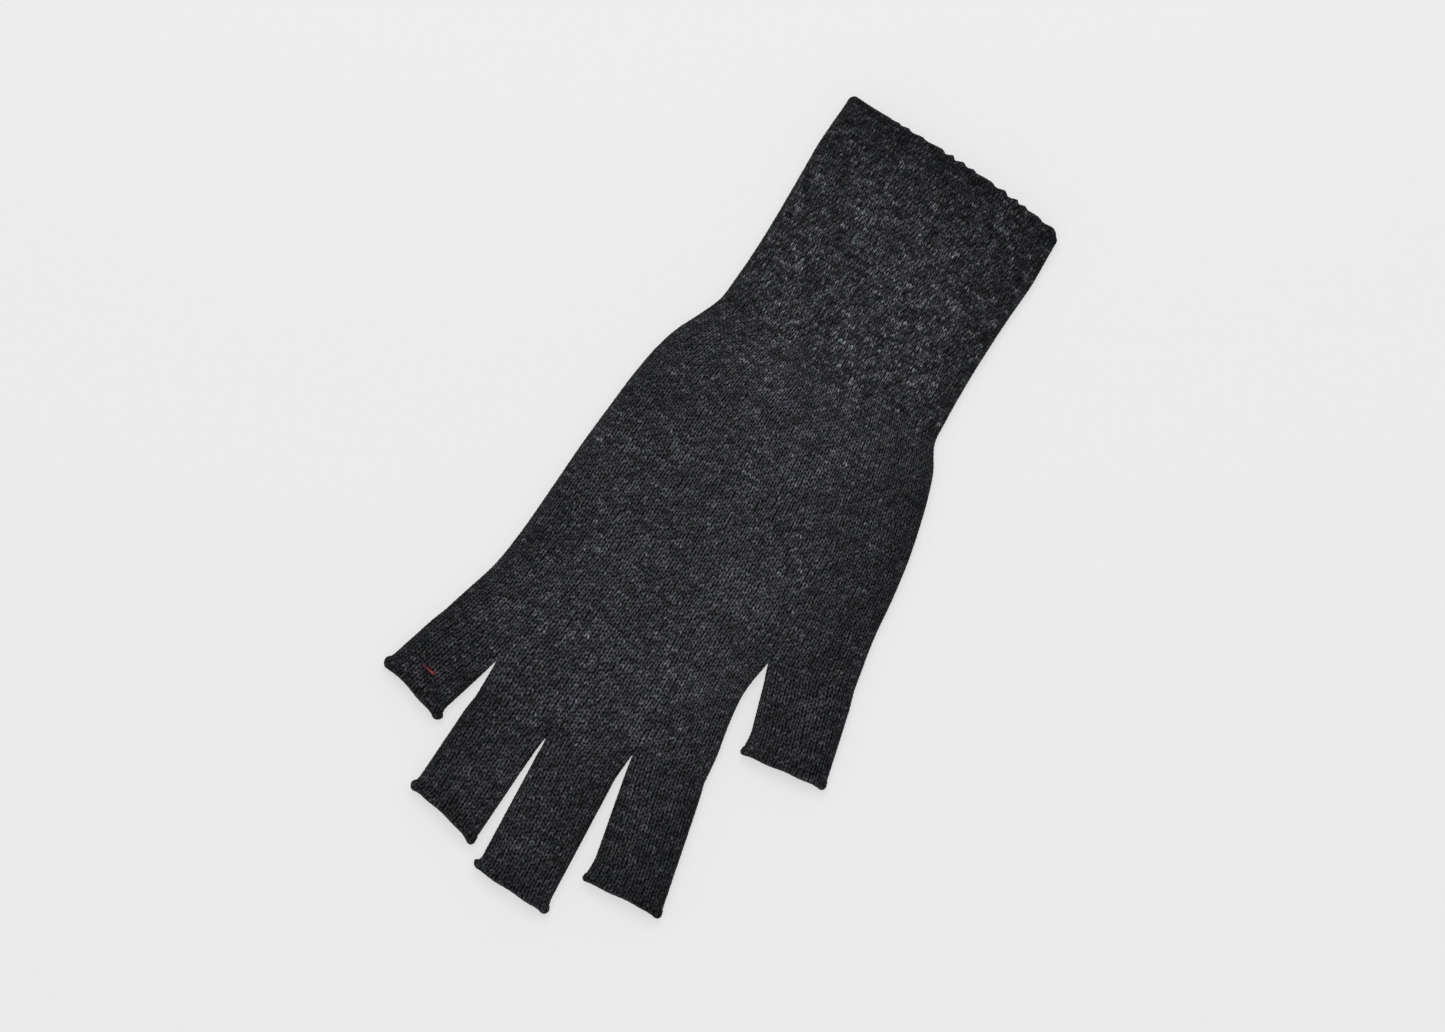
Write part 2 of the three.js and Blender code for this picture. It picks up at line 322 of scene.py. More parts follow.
def arm_thumb_rail(rows):
    """Between the palm's wales and the thumb's, ending at the thumb's crotch."""
    left, right = arm_left(rows), arm_right(rows)
    start = PALM / HAND
    crotch = CROTCHES["index_thumb"]
    end = (crotch[0] - left[:, 0]) / np.maximum(right[:, 0] - left[:, 0], 1)
    ease = np.clip(np.asarray(rows, float) / HAND_ROWS, 0, 1)[:, None] ** 2
    x = left[:, :1] + (right[:, :1] - left[:, :1]) * (start * (1 - ease) + end[:, None] * ease)
    y = left[:, 1:] + (right[:, 1:] - left[:, 1:]) * start * (1 - ease) + (crotch[1] - THUMB_LEFT) * ease**3
    return np.concatenate([x, y], axis=1)


def palm_side(side, levels, end_level):
    return outline(side, levels, (THUMB_LEFT, end_level), (PALM_START, PAIR_START))


def palm_rail(wales, end):
    """A straight line down the palm from so many wales in along its first row."""
    start = arm_left([HAND_ROWS])[0]
    first = start + (CROTCHES["index_thumb"] - start) * wales / PALM
    return through([(PALM_START, *first), (PAIR_START, *end)])


palm_left = palm_side(0, [THUMB_LEFT, *PALM_LEVELS], little.left[1]) + [(PAIR_START, *little.left)]
palm_right = palm_side(1, PALM_LEVELS, index.right[1]) + [(PAIR_START, *index.right)]
pair_middle = CROTCHES["ring_middle"] + [0, PAIR_ROWS * COURSE]
PALM_RAILS = [
    through(palm_left),
    palm_rail(LITTLE, CROTCHES["little_ring"]),
    palm_rail(LITTLE + RING, pair_middle),
    palm_rail(LITTLE + RING + MIDDLE, CROTCHES["middle_index"]),
    through([(PALM_START, *CROTCHES["index_thumb"]), *palm_right]),
]
PAIR_RAILS = [
    through([(PAIR_START, *CROTCHES["little_ring"]), (PAIR_END, *ring.left)]),
    through([(PAIR_START, *pair_middle), (PAIR_END, *CROTCHES["ring_middle"])]),
    through([(PAIR_START, *CROTCHES["middle_index"]), (PAIR_END, *middle.right)]),
]


def finger_rail(finger, first, last, side, crotch):
    """One side of a finger, which eases from its crotch, if it has one, to the finger's own line."""
    body = finger.length - HEM
    corner = HEM_CORNERS[finger.name][side > 0]
    stretch = 1 + side * finger.skew / 2 / finger.length
    own = finger.centre + finger.across * finger.root / 2 * side

    def at(rows):
        s = (np.asarray(rows, float)[:, None] - first) / (last - first) * body
        half = (finger.root + (finger.tip - finger.root) * s / finger.length) / 2
        half = half + beyond_cad(corner, s, EASE, finger.length)
        line = finger.centre + finger.along * s * stretch + finger.across * half * side
        if crotch is not None:
            line = line + (crotch - own) * np.exp(-np.maximum(s, 0) / PULL_REACH)
        return line

    return at


# ---- Heights of the two layers over the plan ----

def undulation(x, y):
    total = np.zeros_like(x)
    for length, heading, phase, height in WAVES:
        total += height * np.sin(2 * math.pi * (x * math.cos(heading) + y * math.sin(heading)) / length + phase)
    return total


def layer_heights(x, y):
    """Height of the upper layer and of the lower one, away from the folds."""
    upper = CROWN + undulation(x, y)
    lower = FLOOR_GAP + UNDER_WAVES * (1 + undulation(y, x))
    for cx, cy in CROTCHES.values():
        pull = np.exp(-((x - cx) ** 2 + (y - cy) ** 2) / DIP**2)
        upper = upper * (1 - pull) + (FOLD + WEB) * pull
        lower = lower * (1 - pull) + (FOLD - WEB) * pull
        up = y - cy
        fade = smooth(up / CREASE_START + 0.5) * smooth((CREASE - up) / CREASE)
        upper = upper - CREASE_DEPTH * fade * np.exp(-(((x - cx) / CREASE_WIDTH) ** 2))
    return upper, lower


# ---- Tubes ----

def edge_profile(reach, rise):
    """Length, distance in and share of the rise along a quarter ellipse from a fold line to its layer."""
    turn = np.linspace(0, math.pi / 2, 200)
    inwards, up = reach * (1 - np.cos(turn)), rise * np.sin(turn)
    length = np.concatenate([[0], np.cumsum(np.hypot(np.diff(inwards), np.diff(up)))])
    return length, inwards, up / rise


TOP_EDGE = edge_profile(TOP_REACH, CROWN - FOLD)
UNDER_EDGE = edge_profile(UNDER_REACH, FOLD)


def from_fold(q, opened, wale, edge):
    """For q wales from a fold: their distance in, their share of the rise, and how far they are still a web.

    opened is, row by row, how far the web has become a rounded fold, or None at a rail inside the fabric.
    """
    run = wale[:, None] * q
    if opened is None:
        return run, np.ones_like(run), np.zeros_like(run)
    length, inwards, share = edge
    opened = opened[:, None]
    round_in = np.where(run < length[-1], np.interp(run, length, inwards), run - (length[-1] - inwards[-1]))
    web_in = np.maximum(q - 1, 0) * wale[:, None]
    web = (1 - opened) * np.ones_like(run)
    return round_in * opened + web_in * (1 - opened), np.interp(run, length, share), web


def lay(tube, rows, wales, edge, layer):
    """One layer's points, how far across each is and how far in from its nearer fold, as rows by wales.

    wales run from -1, the left fold line, to the tube's count + 1, the right one.
    """
    rails = [rail(rows) for rail in tube.rails]
    stops = np.concatenate([[-1], np.cumsum(tube.counts)[:-1], [sum(tube.counts) + 1]])
    extra = edge[0][-1] - edge[1][-1]  # how much longer the rounded fabric is than its plan
    opened = [
        np.ones(len(rows)) if start is None else smooth((rows - start) / OPENING_ROWS) for start in tube.opens
    ]
    plan = np.empty((len(rows), len(wales), 2))
    rise, web, climb = np.empty((3, len(rows), len(wales)))
    for i, (a, b) in enumerate(zip(rails[:-1], rails[1:])):
        inside = (wales >= stops[i]) & (wales <= stops[i + 1])
        span = np.linalg.norm(b - a, axis=1)
        folds = [opened[0] if i == 0 else None, opened[1] if i == len(rails) - 2 else None]
        outer_folds = [fold for fold in folds if fold is not None]
        grown = sum(fold * extra for fold in outer_folds)
        spare = sum(fold - 1 for fold in outer_folds)
        wale = (span + grown) / (stops[i + 1] - stops[i] + spare)
        q_left, q_right = wales[inside] - stops[i], stops[i + 1] - wales[inside]
        left_in, left_rise, left_web = from_fold(q_left, folds[0], wale, edge)
        right_in, right_rise, right_web = from_fold(q_right, folds[1], wale, edge)
        if len(outer_folds) == 2:
            from_left = q_left <= q_right
        else:
            from_left = np.full(q_left.size, folds[1] is None)
        t = (np.where(from_left, left_in, span[:, None] - right_in) / span[:, None])[..., None]
        plan[:, inside] = a[:, None] * (1 - t) + b[:, None] * t
        rise[:, inside] = np.where(from_left, left_rise, right_rise)
        web[:, inside] = np.where(from_left, left_web, right_web)
        climb[:, inside] = np.clip(np.where(from_left, q_left, q_right), 0, 1)
    left = rails[0][:, None]
    across = rails[-1][:, None] - left
    share_across = ((plan - left) * across).sum(-1) / (across**2).sum(-1) * 2 - 1
    if tube.bow:
        plan = plan + np.array([0, 1]) * (tube.bow(rows)[:, None] * (1 - share_across**2))[..., None]
    upper, lower = layer_heights(plan[..., 0], plan[..., 1])
    lift = tube.lift(rows)[:, None] if tube.lift else 0
    target = upper if layer == "top" else lower + lift
    step = WEB if layer == "top" else -WEB
    rounded = FOLD + (target - FOLD) * rise
    upright = np.where(climb < 1, FOLD + step * climb, target)
    z = rounded * (1 - web) + upright * web
    fold_distance = (1 - np.abs(share_across)) * np.linalg.norm(across, axis=-1) / 2
    return np.concatenate([plan, z[..., None]], axis=-1), share_across, fold_distance


def tube_columns(top_wales, steps):
    """The mesh columns round a tube: where each is, its wale and whether it is in the upper layer.

    Places count wales from the left end of the top, over it, round the right fold and back underneath.
    """
    top, under, _ = steps
    under_start, left_start, end = top_wales + SIDE, 2 * top_wales + SIDE, 2 * (top_wales + SIDE)
    u = np.concatenate([
        np.arange(under_start * top) / top,
        under_start + np.arange(top_wales * under) / under,
        left_start + np.arange(SIDE * top) / top,
    ])
    wales = np.select([u <= top_wales + 1, u < left_start + 1], [u, left_start - u], u - end)
    return u, wales, (u <= top_wales + 1) | (u > left_start + 1)


def place(tube, rows, wales, upper):
    """Points round a tube, how far across it each is (-1 to 1), and how far in from its nearer fold."""
    points = np.empty((len(rows), len(wales), 3))
    shares, distances = np.empty((2, len(rows), len(wales)))
    for some, edge, layer in ((upper, TOP_EDGE, "top"), (~upper, UNDER_EDGE, "under")):
        points[:, some], shares[:, some], distances[:, some] = lay(tube, rows, wales[some], edge, layer)
    return points, shares, distances


TUBES = {}


def tube(name, piece, rails, counts, first, last, crotches=(None,) * 2, parent=None, at=0, bow=None, lift=None):
    """A stretch of the glove from row first to row last, with counts of wales between its rails.

    crotches are where its left and right folds begin, and a crotch in its first row has a web of its own. at
    is the parent's wale that it starts from, bow moves its middle up and lift raises its lower layer.
    """
    TUBES[name] = SimpleNamespace(
        name=name, piece=piece, rails=rails, counts=counts, first=first, last=last, parent=parent, at=at,
        bow=bow, lift=lift, wales=sum(counts), offset=at + TUBES[parent].offset if parent else 0,
        opens=[CROTCH_ROWS.get(crotch) for crotch in crotches],
        webs=[crotch if CROTCH_ROWS.get(crotch) == first else None for crotch in crotches],
    )


def finger_tube(finger, wales, first, crotches, parent, at):
    last = first + round((finger.length - HEM) / COURSE)
    rails = [
        finger_rail(finger, first, last, side, CROTCHES[crotch] if CROTCH_ROWS.get(crotch) == first else None)
        for side, crotch in zip((-1, 1), crotches)
    ]

    def lift(rows):
        return HEM_SWELL * smooth((rows - last + SWELL_ROWS) / SWELL_ROWS)

    tube(finger.name, finger.name, rails, [wales], first, last, crotches, parent, at, lift=lift)


def cuff_bow(rows):
    return CUFF_BOW * np.clip(-rows / CUFF_ROWS, 0, 1)


tube("arm", "palm", [arm_left, arm_thumb_rail, arm_right], [PALM, THUMB], -CUFF_ROWS, HAND_ROWS, bow=cuff_bow)
tube(
    "palm", "palm", PALM_RAILS, [LITTLE, RING, MIDDLE, INDEX], PALM_START, PAIR_START,
    (None, "index_thumb"), "arm",
)
finger_tube(thumb, THUMB, PALM_START, ("index_thumb", None), "arm", PALM)
tube(
    "pair", "palm", PAIR_RAILS, [RING, MIDDLE], PAIR_START, PAIR_END,
    ("little_ring", "middle_index"), "palm", LITTLE,
)
finger_tube(little, LITTLE, PAIR_START, (None, "little_ring"), "palm", 0)
finger_tube(index, INDEX, PAIR_START, ("middle_index", None), "palm", PALM - INDEX)
finger_tube(ring, RING, PAIR_END, ("little_ring", "ring_middle"), "pair", 0)
finger_tube(middle, MIDDLE, PAIR_END, ("ring_middle", "middle_index"), "pair", RING)


def ring_marks(t, steps):
    """Where a tube's right fold, its underside and its left fold start in a ring of its columns."""
    top, under, _ = steps
    right = t.wales * top
    below = right + SIDE * top
    return right, below, below + t.wales * under


def shared_ring(t, grids, webs, steps):
    """A tube's first ring: the vertices it shares with its parent and with a web made before, and else -1."""
    top, under, _ = steps
    right, below, left = ring_marks(t, steps)
    shared = np.full(left + SIDE * top, -1)
    if not t.parent:
        return shared
    mother, above = TUBES[t.parent], grids[t.parent][-1]
    mother_right, mother_below, mother_left = ring_marks(mother, steps)
    shared[: right + 1] = above[t.at * top : (t.at + t.wales) * top + 1]
    first_under = mother_below + (mother.wales - t.at - t.wales) * under
    shared[below : left + 1] = above[np.arange(first_under, first_under + t.wales * under + 1) % len(above)]
    if t.webs[1] is None:
        shared[right : below + 1] = above[mother_right : mother_below + 1]
    elif t.webs[1] in webs:
        shared[right : below + 1] = webs[t.webs[1]]
    if t.webs[0] is None:
        shared[left:] = above[mother_left:]
    elif t.webs[0] in webs:
        shared[left:] = webs[t.webs[0]][:0:-1]
    return shared


def texture_places(t, u, rows):
    """Where the corners of a tube's faces lie in the texture, counted in wales and rows of the whole hand."""
    left_start = 2 * t.wales + SIDE
    underside = 2 * (HAND - t.wales)
    left_fold = t.offset - SIDE - left_start if t.webs[0] else underside
    hand_u = np.select(
        [u < t.wales + SIDE, u < left_start], [u + t.offset, u + underside - t.offset], u + left_fold
    )
    width = np.append(u[1:], 2 * (t.wales + SIDE)) - u
    corner_u = np.stack([hand_u, hand_u, hand_u + width, hand_u + width], -1)
    corner_v = np.stack([rows[:-1], rows[1:], rows[1:], rows[:-1]], -1)
    return np.stack(np.broadcast_arrays(corner_u[None], corner_v[:, None]), -1).reshape(-1, 4, 2)


def weave(steps):
    """The glove's surface at one mesh density, with shared vertices wherever tubes meet."""
    parts = {key: [] for key in ("points", "distance", "wale", "row", "faces", "pieces", "uvs")}
    grids, webs, count = {}, {}, 0
    for t in TUBES.values():
        u, wales, upper = tube_columns(t.wales, steps)
        rows = t.first + np.arange(round((t.last - t.first) * steps[2]) + 1) / steps[2]
        points, _, distance = place(t, rows, wales, upper)
        grid = np.full((len(rows), len(u)), -1)
        grid[0] = shared_ring(t, grids, webs, steps)
        fresh = grid < 0
        grid[fresh] = count + np.arange(fresh.sum())
        count += fresh.sum()
        grids[t.name] = grid
        right, below, left = ring_marks(t, steps)
        if t.webs[1]:
            webs.setdefault(t.webs[1], grid[0, right : below + 1])
        if t.webs[0]:
            webs.setdefault(t.webs[0], np.append(grid[0, left:], grid[0, 0])[::-1])
        beside = np.roll(grid, -1, axis=1)
        quads = np.stack([grid[:-1], grid[1:], beside[1:], beside[:-1]], axis=-1)
        parts["points"].append(points[fresh])
        parts["distance"].append(distance[fresh])
        parts["wale"].append(np.broadcast_to(u + t.offset, grid.shape)[fresh])
        parts["row"].append(np.broadcast_to(rows[:, None], grid.shape)[fresh])
        parts["faces"].append(quads.reshape(-1, 4))
        parts["pieces"].append(np.repeat(np.where(rows[1:] <= 0, "cuff", t.piece), len(u)))
        parts["uvs"].append(texture_places(t, u, rows))
    joined = {key: np.concatenate(made) for key, made in parts.items()}
    return SimpleNamespace(steps=steps, grids=grids, **joined)


def vertex_normals(points, faces):
    a, b, c, d = (points[faces[:, i]] for i in range(4))
    flat = np.cross(c - a, d - b)
    total = np.stack([
        sum(np.bincount(faces[:, i], flat[:, axis], len(points)) for i in range(4)) for axis in range(3)
    ], axis=-1)
    return total / np.maximum(np.linalg.norm(total, axis=1, keepdims=True), 1e-9)


# ---- Painted shade ----

def rim_tree():
    """Points along the glove's edge in plan, from which the painted shade is measured: its outside, its open
    ends, and one side of ring and middle.
    """
    lines = []
    for t in TUBES.values():
        rows = np.arange(t.first, t.last + 1)
        if t.name != "pair":
            lines += [rail(rows) for rail, web in zip((t.rails[0], t.rails[-1]), t.webs) if web is None]
        if t.name in FINGERS:
            end = t.last + HEM / COURSE
        elif t.name == "arm":
            end = t.first - WELT / COURSE
        else:
            continue
        left, right = t.rails[0]([end]), t.rails[-1]([end])
        lines.append(left + (right - left) * np.linspace(0, 1, 40)[:, None])
    places = np.concatenate(lines)
    tree = KDTree(len(places))
    for i, (x, y) in enumerate(places):
        tree.insert((x, y, 0), i)
    tree.balance()
    return tree


RIM = rim_tree()


def shade_at(points):
    """Painted shade: the share of its full brightness that the wool's colour is given."""
    distance = np.array([RIM.find((x, y, 0))[2] for x, y in points[:, :2].tolist()])
    shade = 1 - RIM_PAINTED_SHADE * np.exp(-distance / RIM_REACH)
    for share, ramps in PAINTED_SHADE_FADES:
        for heading, start, length in ramps:
            share = share * smooth((points[:, :2] @ np.array(heading) - start) / length)
        shade *= 1 - share
    return shade


def relief_at(distance):
    """Depth of the stitches, which is less near a fold, where the fabric is drawn tight."""
    return RELIEF * (TIGHT_RELIEF + (1 - TIGHT_RELIEF) * smooth(distance / TIGHT_REACH))


# ---- Stitches ----

LEG_HALF = 0.2  # half a leg's width, in wales
LEG_FOOT, LEG_LEAN = 0.15, 0.18  # how far a leg starts from the middle of its stitch, and how much it leans out
LEG_START, LEG_REACH = -0.12, 1.34  # where a leg comes up from under the row before, and its length, in rows
LEG_ROUND = 0.8  # under 1, a leg is flatter along its middle than a sine
LEG_LEVEL, LEG_VARIES = 0.9, 0.14  # a leg's height, and how much that varies
LEG_SLIP = 1.6  # how much further a leg off its place slips along than aside
LOOSE, CUFF_LOOSE = 0.08, 0.11  # how far a leg may lie off its place, in wales, in the hand and in the cuff
CUFF_TONE = 1.6  # how much more the smaller stitches of the cuff differ in tone
INSIDE_HEIGHT = 0.6  # what counts as the stitches' height on the smooth inside, which sets only its painted groove shade
WIDE_DRIFT, DRIFT = 0.07, 0.05  # of the stitches from a perfect grid, in wales and rows

# Tables of chance values, which the rows and legs look up from their own offsets
YARN_ROWS, YARN_LEGS = 260, 640
TONE_ROW, TONE_LEG = 100, 20
SLIP_ROW, SLIP_LEG = 137, 51
LOOP_ROW = 30

rng = np.random.default_rng(11)
yarn_tone = 0.55 * rng.normal(size=(YARN_ROWS, YARN_LEGS))
yarn_tone += 0.8 * np.repeat(rng.normal(size=(YARN_ROWS, YARN_LEGS // 2)), 2, axis=1)
yarn_tone += 0.15 * (np.roll(yarn_tone, 2, 1) + np.roll(yarn_tone, -2, 1))
yarn_tone /= yarn_tone.std()
leg_rise = rng.uniform(-1, 1, size=(YARN_ROWS, YARN_LEGS))


def hashed(table, row, leg):
    return table[row.astype(int) % YARN_ROWS, leg.astype(int) % YARN_LEGS]


def wander(u, v):
    """Drifts of the stitches from a perfect grid, in wales and rows."""
    du = WIDE_DRIFT * np.sin(0.61 * u + 0.9 * np.sin(0.23 * v)) + DRIFT * np.sin(1.7 * u + 0.83 * v)
    dv = WIDE_DRIFT * np.sin(0.47 * v + 1.3 * np.sin(0.31 * u)) + DRIFT * np.sin(0.93 * u - 1.1 * v)
    return du, dv


def stitches(u, v):
    """Height from 0 to 1 of jersey's right side, and the tone of the yarn that lies uppermost."""
    du, dv = wander(u, v)
    u, v = u + du, v + dv
    wale, course = np.floor(u), np.floor(v)
    loose = np.where(v < 0, CUFF_LOOSE, LOOSE)
    best, tone = np.zeros_like(u), np.zeros_like(u)
    for row in (course - 1, course, course + 1):
        along = v - row
        for beside, side in ((-1, 1), (0, -1), (0, 1), (1, -1)):  # the legs that can reach into this stitch
            axis = beside + 0.5 + side * (LEG_FOOT + LEG_LEAN * along)
            leg = 2 * (wale + beside) + (side > 0)
            shift = loose * hashed(leg_rise, row + SLIP_ROW, leg + SLIP_LEG)
            gap = (u - wale - axis - shift) / LEG_HALF
            body = np.sqrt(np.clip(1 - gap * gap, 0, 1))
            reach = np.clip((along - LEG_START - LEG_SLIP * shift) / LEG_REACH, 0, 1)
            height = body * np.sin(math.pi * reach) ** LEG_ROUND
            height = height * (LEG_LEVEL + LEG_VARIES * hashed(leg_rise, row + TONE_ROW, leg + TONE_LEG))
            over = height > best
            best = np.where(over, height, best)
            tone = np.where(over, hashed(yarn_tone, row + TONE_ROW, leg + TONE_LEG), tone)
    return best, tone * np.where(v < 0, CUFF_TONE, 1)


# ---- Meshes ----

def linked(name, data):
    made = bpy.data.objects.new(name, data)
    bpy.context.scene.collection.objects.link(made)
    return made


def mesh_object(name, points, faces, uvs, attributes, material):
    """A mesh object from points in mm and a list of face arrays, each array of faces with one corner count."""
    mesh = bpy.data.meshes.new(name)
    counts = np.concatenate([np.full(len(f), f.shape[1]) for f in faces])
    corners = np.concatenate([f.ravel() for f in faces]).astype(np.int32)
    mesh.vertices.add(len(points))
    mesh.vertices.foreach_set("co", (points * MM).astype(np.float32).ravel())
    mesh.loops.add(len(corners))
    mesh.loops.foreach_set("vertex_index", corners)
    mesh.polygons.add(len(counts))
    mesh.polygons.foreach_set("loop_start", np.concatenate([[0], np.cumsum(counts)[:-1]]).astype(np.int32))
    mesh.polygons.foreach_set("use_smooth", np.ones(len(counts), bool))
    mesh.update(calc_edges=True)
    if uvs is not None:
        mesh.uv_layers.new(name="OFBake").data.foreach_set("uv", uvs.astype(np.float32).ravel())
    for key, values in attributes.items():
        mesh.attributes.new(key, "FLOAT", "POINT").data.foreach_set("value", values.astype(np.float32))
    mesh.validate()
    mesh.materials.append(material)
    return linked(name, mesh)


# Places in the texture: start and width of the columns for the outside and the inside, and start and height
OUTSIDE_CHART, INSIDE_CHART, CHART_START, CHART_HEIGHT = (0.005, 0.65), (0.665, 0.33), 0.005, 0.99
RIM_PLACE = 0.998  # for the small faces of the rims


def chart(uvs, box, column):
    """Texture places scaled from box to a column of the texture."""
    (u0, v0), (u1, v1) = box
    x = column[0] + (uvs[..., 0] - u0) / (u1 - u0) * column[1]
    y = CHART_START + (uvs[..., 1] - v0) / (v1 - v0) * CHART_HEIGHT
    return np.stack([x, y], -1)


def rim_faces(ring_out, ring_in, top_wales, first):
    """Faces that close the cloth at a ring, one for each wale, in arrays by corner count."""
    made = {}
    starts = tube_columns(top_wales, outer.steps)[0]
    for w in range(round_wales(top_wales)):
        start, stop = np.searchsorted(starts, [w, w + 1])
        arc = [ring_out[i % len(ring_out)] for i in range(start, stop + 1)]
        pair = [ring_in[(w + 1) % len(ring_in)], ring_in[w]]
        face = arc + pair if first else arc[::-1] + pair[::-1]
        made.setdefault(len(face), []).append(face)
    return [np.array(f) for f in made.values()]


def round_wales(top_wales):
    """Wales all the way round a tube."""
    return 2 * (top_wales + SIDE)


outer = weave((TOP_STEPS, UNDER_STEPS, ROW_STEPS))
outer.height, outer.tone = stitches(outer.wale, outer.row)
depth = relief_at(outer.distance) * (outer.height - STITCH_LEVEL)
outer.knit = outer.points + vertex_normals(outer.points, outer.faces) * depth[:, None]
outer.knit[:, 2] = np.maximum(outer.knit[:, 2], LOWEST)
# painted shade for the wool's colour, darker near the outline and towards the ends
outer.shade = shade_at(outer.points)
inner = weave((1, 1, 1))
inner.height = np.full(len(inner.row), INSIDE_HEIGHT)
inner.tone = hashed(yarn_tone, inner.row + TONE_ROW, 2 * inner.wale)
inner.knit = inner.points - vertex_normals(inner.points, inner.faces) * CLOTH
# painted shade on the inside too
inner.shade = shade_at(inner.points)


def ring_of(sheet, t, row):
    return sheet.grids[t.name][round((row - t.first) * sheet.steps[2])]


def knit_piece(name, piece, rims):
    """One stretch of the fabric with its two sides and its rims: (tube, row, whether it starts there)."""
    points, faces, uvs, index_maps = [], [], [], []
    # tone, stitch height and painted shade of each vertex
    values = {"tone": [], "height": [], "shade": []}
    corner_box = outer.uvs[outer.pieces == piece].reshape(-1, 2)
    box = corner_box.min(0), corner_box.max(0)
    count = 0
    for sheet, column, way in ((outer, OUTSIDE_CHART, 1), (inner, INSIDE_CHART, -1)):
        chosen = sheet.pieces == piece
        used, remapped = np.unique(sheet.faces[chosen], return_inverse=True)
        faces.append((remapped.reshape(-1, 4) + count)[:, ::way])
        uvs.append(chart(sheet.uvs[chosen], box, column)[:, ::way].reshape(-1, 2))
        points.append(sheet.knit[used])
        for key, parts in values.items():
            parts.append(getattr(sheet, key)[used])
        lookup = np.full(len(sheet.points), -1)
        lookup[used] = np.arange(len(used)) + count
        index_maps.append(lookup)
        count += len(used)
    for tube_name, row, first in rims:
        t = TUBES[tube_name]
        ring_out, ring_in = (found[ring_of(sheet, t, row)] for found, sheet in zip(index_maps, (outer, inner)))
        for group in rim_faces(ring_out, ring_in, t.wales, first):
            faces.append(group)
            uvs.append(np.full((group.size, 2), RIM_PLACE))
    attributes = {key: np.concatenate(parts) for key, parts in values.items()}
    return mesh_object(name, np.concatenate(points), faces, np.concatenate(uvs), attributes, knit_wool)


def rolled_piece(name, rings, attributes, material):
    """A closed ring of cloth from its profile: an array (places along the profile, places round, 3)."""
    turns, count = rings.shape[:2]
    grid = np.arange(turns * count).reshape(turns, count)
    right, below = np.roll(grid, -1, 1), np.roll(grid, -1, 0)
    corner = np.roll(right, -1, 0)
    faces = np.stack([grid, below, corner, right], -1).reshape(-1, 4)
    across, down = np.arange(count), np.arange(turns)
    x = np.stack([across, across, across + 1, across + 1], -1) / count
    y = np.stack([down, down + 1, down + 1, down], -1) / turns
    uv = np.stack(np.broadcast_arrays(x[None], y[:, None]), -1) * CHART_HEIGHT + CHART_START
    points = rings.reshape(-1, 3)
    flat = {key: value.ravel() for key, value in attributes.items()}
    # the rolled edges get painted shade too
    return mesh_object(name, points, [faces], uv.reshape(-1, 2), {**flat, "shade": shade_at(points)}, material)


DENT, DENT_WIDTH = 0.6, 0.3  # the groove before a roll, as shares of its swell and its length
LAG_POWER = 1.5  # how late in the roll it takes the shape of its corners
EDGE_TURNS = np.radians(np.arange(25, 151, 25))  # steps in which the cloth turns over its edge
EDGE_LOW, EDGE_LOOPS = 0.3, 0.6  # height of the gaps between the bound-off loops, and of the loops over that
TURNED_HEIGHT, TURNED_SHARES = 0.5, (0.85, 0.45, 0.0)  # of the turned-in cloth: its stitch height, which sets only its painted groove shade, and where it has rings, going back


def cloth_end(name, t, first, length, along, reach, swell):
    """The cloth's last rows, which go on from a tube's ring at row first, swell softly and turn inside.

    along is the way they go, length how far, reach gives how far each place round goes beyond that, in mm, and
    swell is how far they stand out.
    """
    onwards = 1 if first == t.last else -1
    half = CLOTH / 2
    stitched = length - half
    count = max(4, round(stitched / COURSE * ROW_STEPS))
    rows = first + onwards * np.linspace(0, stitched / COURSE, count + 1)
    u, wales, upper = tube_columns(t.wales, outer.steps)
    base, shares, distances = place(t, rows, wales, upper)
    ahead = np.gradient(base, axis=0) * onwards
    normals = np.cross(ahead, np.roll(base, -1, 1) - np.roll(base, 1, 1))
    normals -= (normals @ along)[..., None] * along
    normals /= np.linalg.norm(normals, axis=-1, keepdims=True)
    ring_out = ring_of(outer, t, first)
    relief = relief_at(distances[0])
    half_width = np.linalg.norm(t.rails[-1](rows[-1:]) - t.rails[0](rows[-1:])) / 2
    extra = reach(u, shares[-1], half_width)
    rings, tones, heights = [outer.knit[ring_out]], [outer.tone[ring_out]], [outer.height[ring_out]]

    def add_ring(i, share, lengthwise, outwards, tone, height):
        """A ring above the base's ring i, moved along and outwards in mm."""
        moved = extra * share**LAG_POWER + lengthwise
        outwards = np.broadcast_to(outwards, u.shape)
        rings.append(base[i] + moved[:, None] * along + normals[i] * outwards[:, None])
        tones.append(tone)
        heights.append(np.broadcast_to(height, u.shape))

    for i in range(1, count + 1):
        height, tone = stitches(u + t.offset, np.full(len(u), rows[i]))
        share = i / count
        dent = DENT * math.exp(-((share / DENT_WIDTH) ** 2)) * smooth(4 * share)
        outwards = swell * (smooth(2 * share) - dent) + relief * (height - STITCH_LEVEL)
        add_ring(i, share, 0, outwards, tone, height)
    tone = hashed(yarn_tone, np.full(len(u), LOOP_ROW), np.floor(2 * u))
    height = EDGE_LOW + EDGE_LOOPS * np.abs(np.sin(math.pi * (u + t.offset)))
    radius = half + swell / 2 + relief * (height - STITCH_LEVEL) / 4
    for turn in EDGE_TURNS:
        add_ring(-1, 1, radius * math.sin(turn), swell / 2 - half + radius * math.cos(turn), tone, height)
    for share in TURNED_SHARES:
        add_ring(round(share * count), share, 0, -CLOTH, tone, TURNED_HEIGHT)
    made = np.array(rings)
    made[..., 2] = np.maximum(made[..., 2], LOWEST)
    way = slice(None, None, onwards)
    attributes = {"tone": np.array(tones)[:, way], "height": np.array(heights)[:, way]}
    return rolled_piece(name, made[:, way], attributes, edge_wool)


